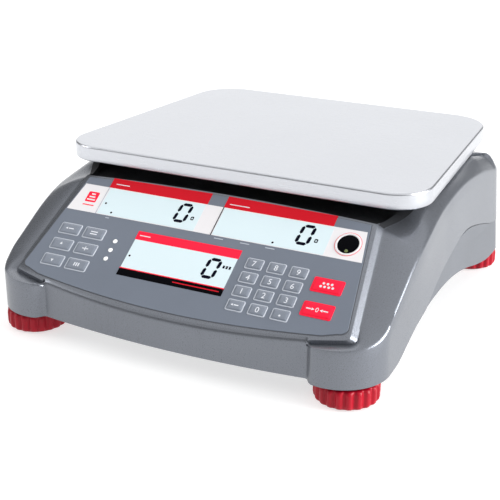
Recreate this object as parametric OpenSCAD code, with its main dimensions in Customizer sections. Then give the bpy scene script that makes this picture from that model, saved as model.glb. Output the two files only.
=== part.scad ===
// Counting scale: one assembly of separate named pieces, in millimetres.
// +X is the user's right, +Y points to the back, +Z is up.
// The origin is on the floor, at the centre of the overall footprint.

/* [Pan] */
// Width of the weighing pan along its front edge
pan_width = 300; // [290:1:306]
// Width of the weighing pan along its rear edge
pan_rear_width = 262; // [250:1:280]
// Depth of the weighing pan
pan_depth = 225; // [215:1:226]
// Height of the pan's top face above the floor
pan_top_z = 122.5; // [121:0.5:135]
// Height of the folded rim round the pan
pan_skirt = 12.2; // [9:0.1:13]
// Thickness of the pan's steel sheet
pan_sheet = 1.2; // [0.8:0.1:2]
// Corner radius of the pan at the front
pan_corner_front = 28; // [20:1:32]
// Corner radius of the pan at the rear
pan_corner_rear = 34; // [24:1:38]

/* [Console] */
// Tilt of the console face above the horizontal, in degrees
console_tilt = 34.6; // [33:0.1:36]
// Half width of the console face at its upper edge
console_top_half = 115; // [112:0.5:117]
// Half width of the console face at its lower edge
console_low_half = 134; // [130:0.5:136]
// Thickness of the printed overlay
overlay_thick = 0.4; // [0.3:0.1:0.6]
// Height of a key top above the console face
key_rise = 1.3; // [1:0.1:2]
// Play between a key and its opening, on each side
key_gap = 0.35; // [0.3:0.05:0.5]

/* [Housing] */
// Wall thickness of the upper housing
wall = 2.5; // [2:0.1:3]
// Wall thickness of the lower casting
cast_wall = 3; // [2.5:0.1:3.5]
// Half width of the housing across its side walls
side_half = 149.5; // [148:0.5:151]
// Inward slope of the shoulder between side wall and console, in degrees
shoulder_tilt = 32.5; // [31:0.1:34]
// Radius of the round pod over each front foot
pod_radius = 34.2; // [33:0.1:35]
// Height of the underside of the housing at the feet
skirt_z = 17.2; // [16:0.1:17.5]

/* [Feet] */
// Distance of each foot from the centre plane, left and right
foot_x = 127.3; // [126:0.1:128]
// Distance of each foot from the centre, front and back
foot_y = 135.4; // [134:0.1:136]
// Outer radius of a levelling wheel
wheel_radius = 22.6; // [21:0.1:23]
// Number of grip flutes round a levelling wheel
wheel_flutes = 20; // [16:1:24]

/* [Weighing] */
// Length of the load cell
cell_length = 130; // [120:1:140]
// Width of the load cell
cell_width = 28; // [24:1:32]
// Height of the load cell
cell_height = 22; // [20:1:22]

/* [Hidden] */
eps = 0.01;
smooth = 64;
fine = 24;
big = 400;

// The pan sits over the rear three quarters of the footprint.
pan_y = 45.75;
pan_front = pan_y - pan_depth / 2;
pan_rear = pan_y + pan_depth / 2;
pan_under = pan_top_z - pan_sheet;

// Upper edge of the console face, the origin of its own frame.
console_y = -72.4;
console_z = 101.2;
face_length = 93;
front_bow = 11.8;
front_y = -160.8;
bow_radius = (pow(console_low_half, 2) + pow(front_bow, 2)) / (2 * front_bow);
ridge_x = 149.5;
deck_top = 106.5;
pocket_z = 98;
pocket_half = 126;
pocket_front = -69.4;
pocket_bow = 2205;
rear_y = 158.5;
pod_x = 119;
pod_y = -126.5;
pod_top = 45.5;

// Side view control points, each [y, z].
ridge_points = [
    [-200, 14], [-170, 27.5], [-149, 36.8], [-135, 43.5], [-120, 51.5], [-100, 63], [-80, 74.5], [-60, 84.5],
    [-40, 91.8], [-20, 97], [0, 101], [20, 104], [40, 105.5], [60, 105.2], [80, 102.8], [100, 98.5],
    [120, 92.5], [140, 85.5], [162, 77], [200, 62]
];
arch_points = [
    [-200, skirt_z], [-160, skirt_z], [-125, skirt_z], [-108, 19.4], [-92, 25.5], [-72, 32.5], [-50, 37], [-25, 38.8],
    [0, 38], [25, 35], [50, 30], [75, 23.5], [98, 18.8], [112, skirt_z], [160, skirt_z], [200, skirt_z]
];
split_points = [
    [-54, 36.4], [-44, 41.5], [-28, 48.5], [-14, 52.5], [2, 56], [20, 59.5], [38, 62], [55, 61.5], [75, 57.5],
    [97, 51.5], [118, 45.5], [162, 40], [200, 38]
];
lip_points = [
    [-200, 27], [-110, 28], [-60, 43], [-40, 50], [0, 63], [38, 69], [75, 64], [118, 52], [200, 46]
];

// Joins control points with a smooth curve that passes through each of them.
function spline_at(p, i, t) =
    let(a = p[max(i - 1, 0)], b = p[i], c = p[i + 1], d = p[min(i + 2, len(p) - 1)])
    0.5 * (2 * b + (c - a) * t + (2 * a - 5 * b + 4 * c - d) * t * t + (3 * b - a - 3 * c + d) * t * t * t);
function spline(p, steps) = [
    for (i = [0 : len(p) - 2]) for (k = [0 : steps - 1]) spline_at(p, i, k / steps),
    p[len(p) - 1]
];
curve_steps = 3;
ridge_curve = spline(ridge_points, curve_steps);
arch_curve = spline(arch_points, curve_steps);
split_curve = spline(split_points, curve_steps);

function raised(p, dz) = [for (q = p) [q[0], q[1] + dz]];
function closed_below(p, z) = concat([[p[0][0], z]], p, [[p[len(p) - 1][0], z]]);

// Corner rounding for convex outlines given anticlockwise.
function unit(v) = v / norm(v);
function toward(p, i, step) = unit(p[(i + step + len(p)) % len(p)] - p[i]);
function half_angle(p, i) = acos(toward(p, i, 1) * toward(p, i, -1)) / 2;
function tangent(p, i, r, step) = p[i] + toward(p, i, step) * r / tan(half_angle(p, i));
function round_centre(p, i, r) = p[i] + unit(toward(p, i, 1) + toward(p, i, -1)) * r / sin(half_angle(p, i));

module rounded_poly(p, r) {
    polygon([for (i = [0 : len(p) - 1]) for (s = [-1, 1]) tangent(p, i, r[i], s)]);
    for (i = [0 : len(p) - 1]) {
        translate(round_centre(p, i, r[i])) circle(r = r[i], $fn = smooth);
    }
}

module rounded_rect(w, h, r) {
    square([w - 2 * r, h], center = true);
    square([w, h - 2 * r], center = true);
    for (x = [-1, 1], y = [-1, 1]) {
        translate([x * (w / 2 - r), y * (h / 2 - r)]) circle(r = r, $fn = fine);
    }
}

module block(low, high) {
    translate(low) cube(high - low);
}

// Extrudes a side view, given as [y, z], across the full width.
module across() {
    rotate([90, 0, 90]) linear_extrude(height = 2 * big, center = true) children();
}

// Places children in the console's own frame: x across, -y down the slope, z out of the face.
module on_console() {
    translate([0, console_y, console_z]) rotate([console_tilt, 0, 0]) children();
}

// One slab in the console frame, from depth low to depth high along the face's normal.
module face_slab(u, v, low, high) {
    on_console() translate([u, -v, low]) linear_extrude(height = high - low) children();
}

// ---- housing outline ----
module plan_outline(d) {
    side = side_half - d;
    front = front_y + d;
    rear = rear_y - d;
    corner = 30 - d;
    intersection() {
        rounded_poly(
            [[-side, -120], [-console_low_half + d, front - 2], [console_low_half - d, front - 2],
             [side, -120], [side, rear], [-side, rear]],
            [8, 3, 3, 8, corner, corner]);
        translate([0, front_y + bow_radius]) circle(r = bow_radius - d, $fn = 256);
    }
}

module side_profile(d) {
    drop = d / cos(console_tilt);
    run = (deck_top - console_z) / tan(console_tilt);
    face_y = console_y - 130;
    polygon([
        [face_y, -20], [face_y, console_z - drop - 130 * tan(console_tilt)],
        [console_y + run + (drop - d) / tan(console_tilt), deck_top - d],
        [98, deck_top - d], [131, 101 - d], [147, 95 - d], [rear_y + 3, 86 - d], [rear_y + 3, -20]
    ]);
}

module shoulder_cut(d) {
    translate([ridge_x, 0, 0]) rotate([0, shoulder_tilt, 0]) rotate([90, 0, 90])
        linear_extrude(height = 3 * big, center = true)
            polygon(closed_below(
                [for (q = ridge_curve) [q[0], (q[1] - d / cos(shoulder_tilt)) * cos(shoulder_tilt)]], -big));
}

// The closed outer form of the housing, shrunk inward by d.
module form(d) {
    intersection() {
        linear_extrude(height = deck_top + 5) plan_outline(d);
        across() side_profile(d);
        shoulder_cut(d);
        mirror([1, 0, 0]) shoulder_cut(d);
    }
}

// The shallow tray under the pan, grown outward by d.
module pocket(d) {
    translate([0, 0, pocket_z - d]) linear_extrude(height = 40) difference() {
        rounded_poly(
            [[-119 - d, -80 - d], [119 + d, -80 - d], [pocket_half + d, -20], [pocket_half + d, 143 + d],
             [-pocket_half - d, 143 + d], [-pocket_half - d, -20]],
            [4, 4, 40, 24, 24, 40]);
        translate([0, pocket_front - d - pocket_bow]) circle(r = pocket_bow, $fn = 360);
    }
}

module at_feet() {
    for (x = [-1, 1], y = [-1, 1]) translate([x * foot_x, y * foot_y, 0]) children();
}

module at_pods() {
    for (x = [-1, 1]) translate([x * pod_x, pod_y, 0]) children();
}

screw_spots = [[-62, -149.5], [62, -149.5], [-100, 126], [100, 126]];
screw_shank = 1.9;
screw_head = 3.6;
boss_top = 30;

module at_screws() {
    for (p = screw_spots) translate([p[0], p[1], 0]) children();
}

// ---- keys ----
fn_cols = [-107.6, -86];
fn_rows = [51, 65.4, 79.8];
fn_size = [18.4, 10.2];
num_cols = [47.2, 64.1, 81];
num_rows = [50.4, 62, 73.5, 85.1];
num_size = [13.2, 9.2];
wide_size = [22.6, 11.8];
wide_col = 104.5;
wide_rows = [56.2, 75.9];
key_corner = 1.4;
key_flange = 1.2;
key_foot = -6.2;

module key_openings(extra) {
    for (u = fn_cols, v = fn_rows) {
        translate([u, -v]) rounded_rect(fn_size[0] + extra, fn_size[1] + extra, key_corner);
    }
    for (u = num_cols, v = num_rows) {
        translate([u, -v]) rounded_rect(num_size[0] + extra, num_size[1] + extra, key_corner);
    }
    for (v = wide_rows) {
        translate([wide_col, -v]) rounded_rect(wide_size[0] + extra, wide_size[1] + extra, key_corner);
    }
}

// A key: a cap that stands through the panel, a flange that stops it, and a plunger over its switch.
module key_at(u, v, size) {
    face_slab(u, v, -wall - 0.2, key_rise) rounded_rect(size[0], size[1], key_corner);
    face_slab(u, v, -wall - 0.2 - key_flange, -wall - 0.2)
        rounded_rect(size[0] + 1.6, size[1] + 1.6, key_corner);
    face_slab(u, v, key_foot, -wall - 0.2 - key_flange) circle(r = 2, $fn = fine);
}

module fn_key(col, row) {
    color("dimgray") key_at(fn_cols[col], fn_rows[row], fn_size);
}

module num_key(col, row) {
    color("dimgray") key_at(num_cols[col], num_rows[row], num_size);
}

module wide_key(row) {
    color("crimson") key_at(wide_col, wide_rows[row], wide_size);
}

// ---- windows, level and lamps on the console ----
upper_window = [[-93, 9], [96, 32.5]];
lower_window = [[-51, 49.4], [33.6, 73.4]];
window_thick = 1.5;
lcd_margin = 0.8;
level_u = 106.3;
level_v = 20.6;
level_cup_r = 9.4;
level_glass_r = 7.8;
lamp_u = -66;
lamp_rows = [54, 62, 69.8];
lamp_r = 1.4;
board_top = -7.4;
board_thick = 1.6;

module window_area(w, grow) {
    translate([w[0][0] - grow, -w[1][1] - grow])
        square([w[1][0] - w[0][0] + 2 * grow, w[1][1] - w[0][1] + 2 * grow]);
}

module lamp_spots() {
    for (v = lamp_rows) translate([lamp_u, -v]) circle(r = lamp_r, $fn = fine);
}

module console_openings() {
    key_openings(2 * key_gap);
    window_area(upper_window, 0);
    window_area(lower_window, 0);
    translate([level_u, -level_v]) circle(r = level_cup_r, $fn = smooth);
    lamp_spots();
}

board_bosses = [[-104, 22], [-62, 88], [24, 88], [118, 88]];

// ---- upper housing ----
module boss_in_form(x, y, low, r) {
    intersection() {
        translate([x, y, low]) cylinder(r = r, h = 90, $fn = fine);
        form(wall / 2);
    }
}

deck_hole = [[28, 24], [72, 68]];

module top_housing() {
    color("slategray") difference() {
        union() {
            difference() {
                form(0);
                difference() {
                    form(wall);
                    pocket(wall);
                }
                pocket(0);
            }
            for (p = screw_spots) {
                difference() {
                    boss_in_form(p[0], p[1], boss_top, 4);
                    pocket(wall / 2);
                }
            }
            for (p = board_bosses) {
                face_slab(p[0], p[1], board_top, -wall / 2) circle(r = 2.6, $fn = fine);
            }
            difference() {
                at_pods() translate([0, 0, skirt_z])
                    cylinder(r = pod_radius, h = pod_top - skirt_z, $fn = 96);
                form(wall);
            }
        }
        // Hollow inside of each round front pod, open below.
        at_pods() translate([0, 0, skirt_z - 5])
            cylinder(r = pod_radius - wall, h = pod_top - skirt_z + 5 - wall, $fn = 96);
        // Lower edge: the arch at the front, the split line towards the back.
        across() polygon(closed_below(
            concat([[-200, skirt_z]], [for (q = arch_curve) if (q[0] > -150 && q[0] < -54) q], split_curve), -20));
        face_slab(0, 0, -wall - 6, 3) console_openings();
        block([deck_hole[0][0], deck_hole[0][1], 80], [deck_hole[1][0], deck_hole[1][1], 120]);
        at_screws() translate([0, 0, 20]) cylinder(r = screw_shank, h = 24, $fn = fine);
        for (p = board_bosses) {
            face_slab(p[0], p[1], board_top - 1, board_top + 4) circle(r = 1, $fn = fine);
        }
    }
}

// ---- lower casting ----
base_gap = wall + 0.3;
band_inset = 0.5;
band_gap = 0.4;
insert_r = 6.5;
insert_top = 36;
stud_r = 4;
well_low = [-126, -50];
well_high = [-74, 52];
cover_z = 40;
cover_thick = 2.5;
cell_z = 60;
cell_end = 30;
inlet_x = -70;
port_x = 20;
rear_panel_z = 28;
opening_front = 127.5;
inlet_size = [28, 20];
inlet_pins = [[-7, -2], [0, 3], [7, -2]];
port_size = [19, 10.5];
board_posts = [[-50, -52], [56, -52], [-50, 4], [56, 4]];
board_z = 47;
stop_x = 50;
psu_z = 43;
psu_posts = [[80, 128], [-56, 12]];

module base_plan(d) {
    linear_extrude(height = 120) plan_outline(base_gap + d);
}

module floor_pillar(x, y, r, top) {
    difference() {
        translate([x, y, 10]) cylinder(r = r, h = top - 10, $fn = fine);
        across() polygon(closed_below(raised(arch_curve, cast_wall / 2), -20));
    }
}

module base_casting() {
    color("gray") difference() {
        union() {
            difference() {
                union() {
                    intersection() {
                        base_plan(0);
                        across() polygon(closed_below(lip_points, -20));
                    }
                    intersection() {
                        linear_extrude(height = 120) plan_outline(band_inset);
                        across() polygon(closed_below(raised(split_curve, -band_gap), -20));
                    }
                }
                intersection() {
                    base_plan(cast_wall);
                    across() polygon(concat(raised(arch_curve, cast_wall), [[200, 120], [-200, 120]]));
                }
            }
            // Bosses for the feet, the screws and the main board.
            intersection() {
                base_plan(0);
                at_feet() translate([0, 0, skirt_z]) cylinder(r = 10, h = insert_top - skirt_z, $fn = fine);
            }
            for (p = screw_spots) floor_pillar(p[0], p[1], 5, boss_top);
            for (x = psu_posts[0], y = psu_posts[1]) floor_pillar(x, y, 4, psu_z);
            for (p = board_posts) floor_pillar(p[0], p[1], 3.5, board_z);
            floor_pillar(stop_x, pan_y, 5, 52);
            // Block under the fixed end of the load cell.
            block([-cell_length / 2, pan_y - 16, 31], [-cell_length / 2 + cell_end, pan_y + 16, cell_z]);
            // Walls of the battery well.
            block([well_low[0] - 3, well_low[1] - 3, 24], [well_high[0] + 3, well_high[1] + 3, 48]);
        }
        across() polygon(closed_below(arch_curve, -20));
        at_feet() translate([0, 0, skirt_z - 1]) cylinder(r = insert_r, h = insert_top, $fn = fine);
        at_screws() translate([0, 0, -1]) cylinder(r = screw_shank, h = 60, $fn = fine);
        at_screws() translate([0, 0, skirt_z - 1]) cylinder(r = screw_head, h = 4, $fn = fine);
        for (p = board_posts) translate([p[0], p[1], board_z - 5]) cylinder(r = 1, h = 10, $fn = fine);
        translate([stop_x, pan_y, 20]) cylinder(r = 2, h = 40, $fn = fine);
        for (x = cell_fixed_bolts) translate([x, pan_y, 20]) cylinder(r = 3, h = 60, $fn = fine);
        for (x = cell_fixed_bolts) translate([x, pan_y, 20]) cylinder(r = 6, h = 26, $fn = fine);
        block([well_low[0], well_low[1], 10], [well_high[0], well_high[1], cover_z + cover_thick]);
        block([well_low[0] + 2, well_low[1] + 2, 20], [well_high[0] - 2, well_high[1] - 2, 60]);
        rear_opening(inlet_x, inlet_size);
        rear_opening(port_x, port_size);
    }
}

module rear_opening(x, size) {
    block([x - size[0] / 2, opening_front, rear_panel_z - size[1] / 2], [x + size[0] / 2, 170, rear_panel_z + size[1] / 2]);
}

base_rear = rear_y - band_inset;

module housing_screws() {
    color("silver") at_screws() {
        translate([0, 0, skirt_z + 1]) cylinder(r = screw_head, h = 2, $fn = fine);
        translate([0, 0, skirt_z + 3]) cylinder(r = screw_shank, h = 23, $fn = fine);
    }
}

module foot_inserts() {
    color("goldenrod") at_feet() difference() {
        translate([0, 0, skirt_z + 1]) cylinder(r = insert_r, h = insert_top - skirt_z - 1, $fn = fine);
        translate([0, 0, skirt_z - 1]) cylinder(r = stud_r + 0.06, h = 40, $fn = fine);
    }
}

// ---- levelling feet ----
wheel_low = 1.4;
wheel_top = 15;
pad_r = 17.5;
pad_top = 2.8;
pivot_r = 2.5;
pivot_top = 8;
stud_top = 34;

module wheel_outline() {
    difference() {
        circle(r = wheel_radius, $fn = 96);
        for (i = [0 : wheel_flutes - 1]) {
            rotate(i * 360 / wheel_flutes) translate([wheel_radius + 1.5, 0]) circle(r = 2.6, $fn = fine);
        }
    }
}

module wheel(sx, sy) {
    color("firebrick") translate([sx * foot_x, sy * foot_y, 0]) difference() {
        translate([0, 0, wheel_low]) linear_extrude(height = wheel_top - wheel_low) wheel_outline();
        translate([0, 0, -1]) cylinder(r = pad_r + 0.5, h = 4, $fn = smooth);
        translate([0, 0, -1]) cylinder(r = stud_r, h = 30, $fn = fine);
    }
}

module stud(sx, sy) {
    color("silver") translate([sx * foot_x, sy * foot_y, 0]) difference() {
        translate([0, 0, 3]) cylinder(r = stud_r, h = stud_top - 3, $fn = fine);
        translate([0, 0, 2]) cylinder(r = pivot_r + 0.06, h = pivot_top - 1.6, $fn = fine);
    }
}

module pad(sx, sy) {
    color("black") translate([sx * foot_x, sy * foot_y, 0]) {
        cylinder(r = pad_r, h = pad_top, $fn = smooth);
        translate([0, 0, pad_top]) cylinder(r = pivot_r, h = pivot_top - pad_top, $fn = fine);
    }
}

// ---- console pieces ----
module overlay_outline() {
    top = console_top_half - 3.1;
    low = console_low_half - 3.4;
    intersection() {
        rounded_poly([[-low, -98], [low, -98], [top, 4], [-top, 4]], [5, 5, 1, 1]);
        translate([0, -98.6 + 900]) circle(r = 900, $fn = 360);
        translate([0, 1.6 - pocket_bow]) circle(r = pocket_bow, $fn = 360);
    }
}

module keypad_overlay() {
    color("slategray") face_slab(0, 0, 0, overlay_thick) difference() {
        overlay_outline();
        console_openings();
        badge_area(0);
    }
}

badge_low = [-111.5, 10.5];
badge_high = [-96.5, 31.5];

module badge_area(grow) {
    window_area([badge_low, badge_high], grow);
}

module badge_plate() {
    color("white") face_slab(0, 0, 0, overlay_thick) badge_area(0);
}

module window_upper() {
    color("lightcyan") face_slab(0, 0, overlay_thick - window_thick, overlay_thick) window_area(upper_window, 0);
}

module window_lower() {
    color("lightcyan") face_slab(0, 0, overlay_thick - window_thick, overlay_thick) window_area(lower_window, 0);
}

module lcd(w) {
    face_slab(0, 0, -5.4, -wall) window_area(w, lcd_margin);
    face_slab(0, 0, board_top, -5.4) difference() {
        window_area(w, lcd_margin);
        window_area(w, -2);
    }
}

module lcd_upper() {
    color("azure") lcd(upper_window);
}

module lcd_lower() {
    color("azure") lcd(lower_window);
}

module status_lamps() {
    color("white") face_slab(0, 0, board_top, overlay_thick + 0.2) lamp_spots();
}

module level_cup() {
    color("black") difference() {
        face_slab(level_u, level_v, -6.8, 0.9) circle(r = level_cup_r, $fn = smooth);
        face_slab(level_u, level_v, -4.8, 2) circle(r = level_glass_r, $fn = smooth);
    }
}

module level_glass() {
    color("darkolivegreen") face_slab(level_u, level_v, -4.8, 0.7) circle(r = level_glass_r, $fn = smooth);
}

module switch_spots() {
    for (u = fn_cols, v = fn_rows) translate([u, -v]) circle(r = 3, $fn = fine);
    for (u = num_cols, v = num_rows) translate([u, -v]) circle(r = 3, $fn = fine);
    for (v = wide_rows) translate([wide_col, -v]) circle(r = 3, $fn = fine);
}

module display_board() {
    color("darkgreen") difference() {
        union() {
            face_slab(0, 0, board_top - board_thick, board_top)
                polygon([[-110, -7], [110, -7], [128, -92], [-128, -92]]);
            face_slab(-20, 84, board_top, board_top + 2.4) square([26, 6], center = true);
            for (x = [-30, 0, 60]) {
                face_slab(x, 41, board_top, board_top + 1.4) square([9, 5], center = true);
            }
            face_slab(0, 0, board_top, board_top + 0.4) switch_spots();
        }
        for (p = board_bosses) {
            face_slab(p[0], p[1], board_top - 4, board_top + 1) circle(r = 1, $fn = fine);
        }
    }
}

module board_screws() {
    color("silver") {
        for (p = board_bosses) {
            face_slab(p[0], p[1], board_top - board_thick, board_top + 4) circle(r = 1, $fn = fine);
            face_slab(p[0], p[1], board_top - board_thick - 1.6, board_top - board_thick) circle(r = 2.2, $fn = fine);
        }
        for (p = board_posts) {
            translate([p[0], p[1], board_z - 5]) cylinder(r = 1, h = 5 + board_thick, $fn = fine);
            translate([p[0], p[1], board_z + board_thick]) cylinder(r = 2.2, h = 1.6, $fn = fine);
        }
    }
}

module main_board() {
    color("darkgreen") difference() {
        union() {
            block([-56, -58, board_z], [62, 10, board_z + board_thick]);
            block([-20, -40, board_z + board_thick], [0, -20, board_z + board_thick + 1.6]);
            block([14, -44, board_z + board_thick], [34, -34, board_z + board_thick + 6]);
            block([-44, -30, board_z + board_thick], [-30, -16, board_z + board_thick + 9]);
            block([20, -10, board_z + board_thick], [44, 0, board_z + board_thick + 8]);
        }
        for (p = board_posts) translate([p[0], p[1], board_z - 1]) cylinder(r = 1, h = 5, $fn = fine);
    }
}

module power_supply() {
    color("gainsboro") union() {
        block([74, -62, psu_z], [134, 18, psu_z + 3]);
        block([76, -60, 46], [132, 16, 72]);
    }
}

module battery() {
    color("dimgray") union() {
        block([well_low[0] + 3, well_low[1] + 3, 48], [well_high[0] - 3, well_high[1] - 3, 90]);
        for (x = [-112, -90]) block([x, 30, 90], [x + 6, 36, 93]);
    }
}

module battery_cover() {
    color("slategray") difference() {
        block([well_low[0] + 0.4, well_low[1] + 0.4, cover_z - cover_thick],
              [well_high[0] - 0.4, well_high[1] - 0.4, cover_z + cover_thick - 0.2]);
        block([well_low[0] + 3, well_low[1] + 3, cover_z - cover_thick - 1],
              [well_high[0] - 3, well_high[1] - 3, cover_z]);
    }
}

module power_inlet() {
    color("black") difference() {
        union() {
            block([inlet_x - inlet_size[0] / 2, 128, rear_panel_z - inlet_size[1] / 2],
                  [inlet_x + inlet_size[0] / 2, base_rear, rear_panel_z + inlet_size[1] / 2]);
            block([inlet_x - 20, base_rear, rear_panel_z - 11], [inlet_x + 20, base_rear + 2.5, rear_panel_z + 11]);
        }
        block([inlet_x - 12, 140, rear_panel_z - 8], [inlet_x + 12, 170, rear_panel_z + 8]);
    }
    color("silver") for (p = inlet_pins) {
        block([inlet_x + p[0] - 1, 139, rear_panel_z + p[1] - 2],
              [inlet_x + p[0] + 1, base_rear - 6, rear_panel_z + p[1] + 2]);
    }
}

port_pitch = 24.99;
port_end = -front_y;

module serial_port() {
    color("silver") difference() {
        union() {
            block([port_x - 9.5, 138, rear_panel_z - 5.25], [port_x + 9.5, base_rear, rear_panel_z + 5.25]);
            block([port_x - 16, base_rear, rear_panel_z - 6.3], [port_x + 16, base_rear + 1, rear_panel_z + 6.3]);
            block([port_x - 8.5, base_rear + 1, rear_panel_z - 4.2], [port_x + 8.5, port_end, rear_panel_z + 4.2]);
        }
        for (s = [-1, 1]) translate([port_x + s * port_pitch / 2, 170, rear_panel_z])
            rotate([90, 0, 0]) cylinder(r = 1.5, h = 30, $fn = fine);
    }
}

// ---- weighing mechanism ----
cell_fixed_bolts = [-58, -42];
cell_live_bolts = [42, 58];
frame_z = 106;
frame_top = 112;
cushion_spots = [[-95, -52], [95, -52], [-95, 52], [95, 52]];

module load_cell() {
    color("silver") difference() {
        block([-cell_length / 2, pan_y - cell_width / 2, cell_z], [cell_length / 2, pan_y + cell_width / 2, cell_z + cell_height]);
        for (x = [-14, 14]) translate([x, pan_y + 40, cell_z + cell_height / 2])
            rotate([90, 0, 0]) cylinder(r = 8, h = 80, $fn = smooth);
        block([-14, pan_y - 40, cell_z + cell_height / 2 - 4], [14, pan_y + 40, cell_z + cell_height / 2 + 4]);
        for (x = cell_fixed_bolts) translate([x, pan_y, cell_z - 1]) cylinder(r = 3, h = 13, $fn = fine);
        for (x = cell_live_bolts) translate([x, pan_y, cell_z + cell_height - 12]) cylinder(r = 3, h = 13, $fn = fine);
    }
}

module load_cell_bolts() {
    color("dimgray") for (x = cell_fixed_bolts) {
        translate([x, pan_y, 46]) cylinder(r = 3, h = cell_z - 46 + 12, $fn = fine);
        translate([x, pan_y, 40]) cylinder(r = 5, h = 6, $fn = fine);
    }
}

module overload_stop() {
    color("silver") {
        translate([stop_x, pan_y, 34]) cylinder(r = 2, h = 20, $fn = fine);
        translate([stop_x, pan_y, 54]) cylinder(r = 5, h = 5, $fn = fine);
    }
}

module platform_frame() {
    color("darkgray") difference() {
        union() {
            block([35, pan_y - 15, cell_z + cell_height], [65, pan_y + 15, frame_z + eps]);
            for (s = [-1, 1]) {
                block([-106, pan_y + s * 52 - 11, frame_z], [106, pan_y + s * 52 + 11, frame_top]);
                block([s * 50 - 15, pan_y - 55, frame_z], [s * 50 + 15, pan_y + 55, frame_top]);
            }
            block([-60, pan_y - 15, frame_z], [60, pan_y + 15, frame_top]);
        }
        for (x = cell_live_bolts) {
            translate([x, pan_y, 70]) cylinder(r = 3, h = 60, $fn = fine);
            translate([x, pan_y, 90]) cylinder(r = 5, h = 60, $fn = fine);
        }
    }
}

module platform_bolts() {
    color("dimgray") for (x = cell_live_bolts) {
        translate([x, pan_y, cell_z + cell_height]) cylinder(r = 3, h = 8, $fn = fine);
        translate([x, pan_y, 90]) cylinder(r = 5, h = 6, $fn = fine);
    }
}

module platform_cushions() {
    color("black") for (p = cushion_spots) {
        translate([p[0], pan_y + p[1], frame_top]) cylinder(r = 9, h = pan_under - frame_top, $fn = smooth);
    }
}

module pan_outline(d) {
    f = pan_width / 2 - d;
    b = pan_rear_width / 2 - d;
    rounded_poly(
        [[-f, pan_front + d], [f, pan_front + d], [b, pan_rear - d], [-b, pan_rear - d]],
        [pan_corner_front - d, pan_corner_front - d, pan_corner_rear - d, pan_corner_rear - d]);
}

module pan() {
    color("gainsboro") difference() {
        translate([0, 0, pan_top_z - pan_skirt]) linear_extrude(height = pan_skirt) pan_outline(0);
        translate([0, 0, pan_top_z - pan_skirt - 1]) linear_extrude(height = pan_skirt + 1 - pan_sheet)
            pan_outline(pan_sheet);
    }
}

base_casting();
top_housing();
housing_screws();
foot_inserts();
keypad_overlay();
badge_plate();
window_upper();
window_lower();
lcd_upper();
lcd_lower();
status_lamps();
level_cup();
level_glass();
display_board();
board_screws();
main_board();
power_supply();
battery();
power_inlet();
serial_port();
load_cell();
load_cell_bolts();
overload_stop();
platform_frame();
platform_bolts();
platform_cushions();
pan();
battery_cover();
fn_key(0, 0);  // key_fn_1
fn_key(1, 0);  // key_fn_2
fn_key(0, 1);  // key_fn_3
fn_key(1, 1);  // key_fn_4
fn_key(0, 2);  // key_fn_5
fn_key(1, 2);  // key_fn_6
num_key(0, 0);  // key_7
num_key(1, 0);  // key_8
num_key(2, 0);  // key_9
num_key(0, 1);  // key_4
num_key(1, 1);  // key_5
num_key(2, 1);  // key_6
num_key(0, 2);  // key_1
num_key(1, 2);  // key_2
num_key(2, 2);  // key_3
num_key(0, 3);  // key_clear
num_key(1, 3);  // key_0
num_key(2, 3);  // key_point
wide_key(0);  // key_sample
wide_key(1);  // key_tare
wheel(-1, -1);  // wheel_front_left
wheel(1, -1);  // wheel_front_right
wheel(-1, 1);  // wheel_rear_left
wheel(1, 1);  // wheel_rear_right
stud(-1, -1);  // stud_front_left
stud(1, -1);  // stud_front_right
stud(-1, 1);  // stud_rear_left
stud(1, 1);  // stud_rear_right
pad(-1, -1);  // pad_front_left
pad(1, -1);  // pad_front_right
pad(-1, 1);  // pad_rear_left
pad(1, 1);  // pad_rear_right
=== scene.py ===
"""Counting scale: the looks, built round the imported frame. Lengths in the code are millimetres."""

import math

import bmesh
import bpy
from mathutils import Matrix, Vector


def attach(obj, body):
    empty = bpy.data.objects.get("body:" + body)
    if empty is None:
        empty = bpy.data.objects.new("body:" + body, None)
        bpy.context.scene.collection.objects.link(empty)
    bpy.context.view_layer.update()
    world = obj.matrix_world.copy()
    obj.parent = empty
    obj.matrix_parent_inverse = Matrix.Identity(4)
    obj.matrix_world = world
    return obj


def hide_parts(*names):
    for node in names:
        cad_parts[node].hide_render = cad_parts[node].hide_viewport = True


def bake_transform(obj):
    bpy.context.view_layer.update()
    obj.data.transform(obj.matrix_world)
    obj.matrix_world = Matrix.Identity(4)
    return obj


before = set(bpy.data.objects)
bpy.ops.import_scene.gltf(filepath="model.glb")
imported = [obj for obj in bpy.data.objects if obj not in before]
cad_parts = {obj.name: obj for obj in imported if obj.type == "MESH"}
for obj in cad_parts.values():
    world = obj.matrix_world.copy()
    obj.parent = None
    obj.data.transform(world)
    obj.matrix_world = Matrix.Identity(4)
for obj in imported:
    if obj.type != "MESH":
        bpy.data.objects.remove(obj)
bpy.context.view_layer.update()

MM = 0.001

# ---------------------------------------------------------------- camera
# Place in metres, direction in degrees, lens in millimetres.
CAM_AT = (0.3747, -0.7521, 0.3669)
CAM_AZIMUTH = 27.42
CAM_ELEVATION = 21.556
CAM_LENS = 80.80


def add_camera():
    data = bpy.data.cameras.new("camera")
    data.lens = CAM_LENS
    data.sensor_width = 36.0
    cam = bpy.data.objects.new("camera", data)
    bpy.context.scene.collection.objects.link(cam)
    cam.location = CAM_AT
    cam.rotation_euler = (math.radians(90 - CAM_ELEVATION), 0, math.radians(CAM_AZIMUTH))
    bpy.context.scene.camera = cam


add_camera()

# ---------------------------------------------------------------- materials


def new_material(name):
    mat = bpy.data.materials.new(name)
    mat.use_nodes = True
    nodes = mat.node_tree.nodes
    links = mat.node_tree.links
    return mat, nodes, links, nodes["Principled BSDF"]


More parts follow.
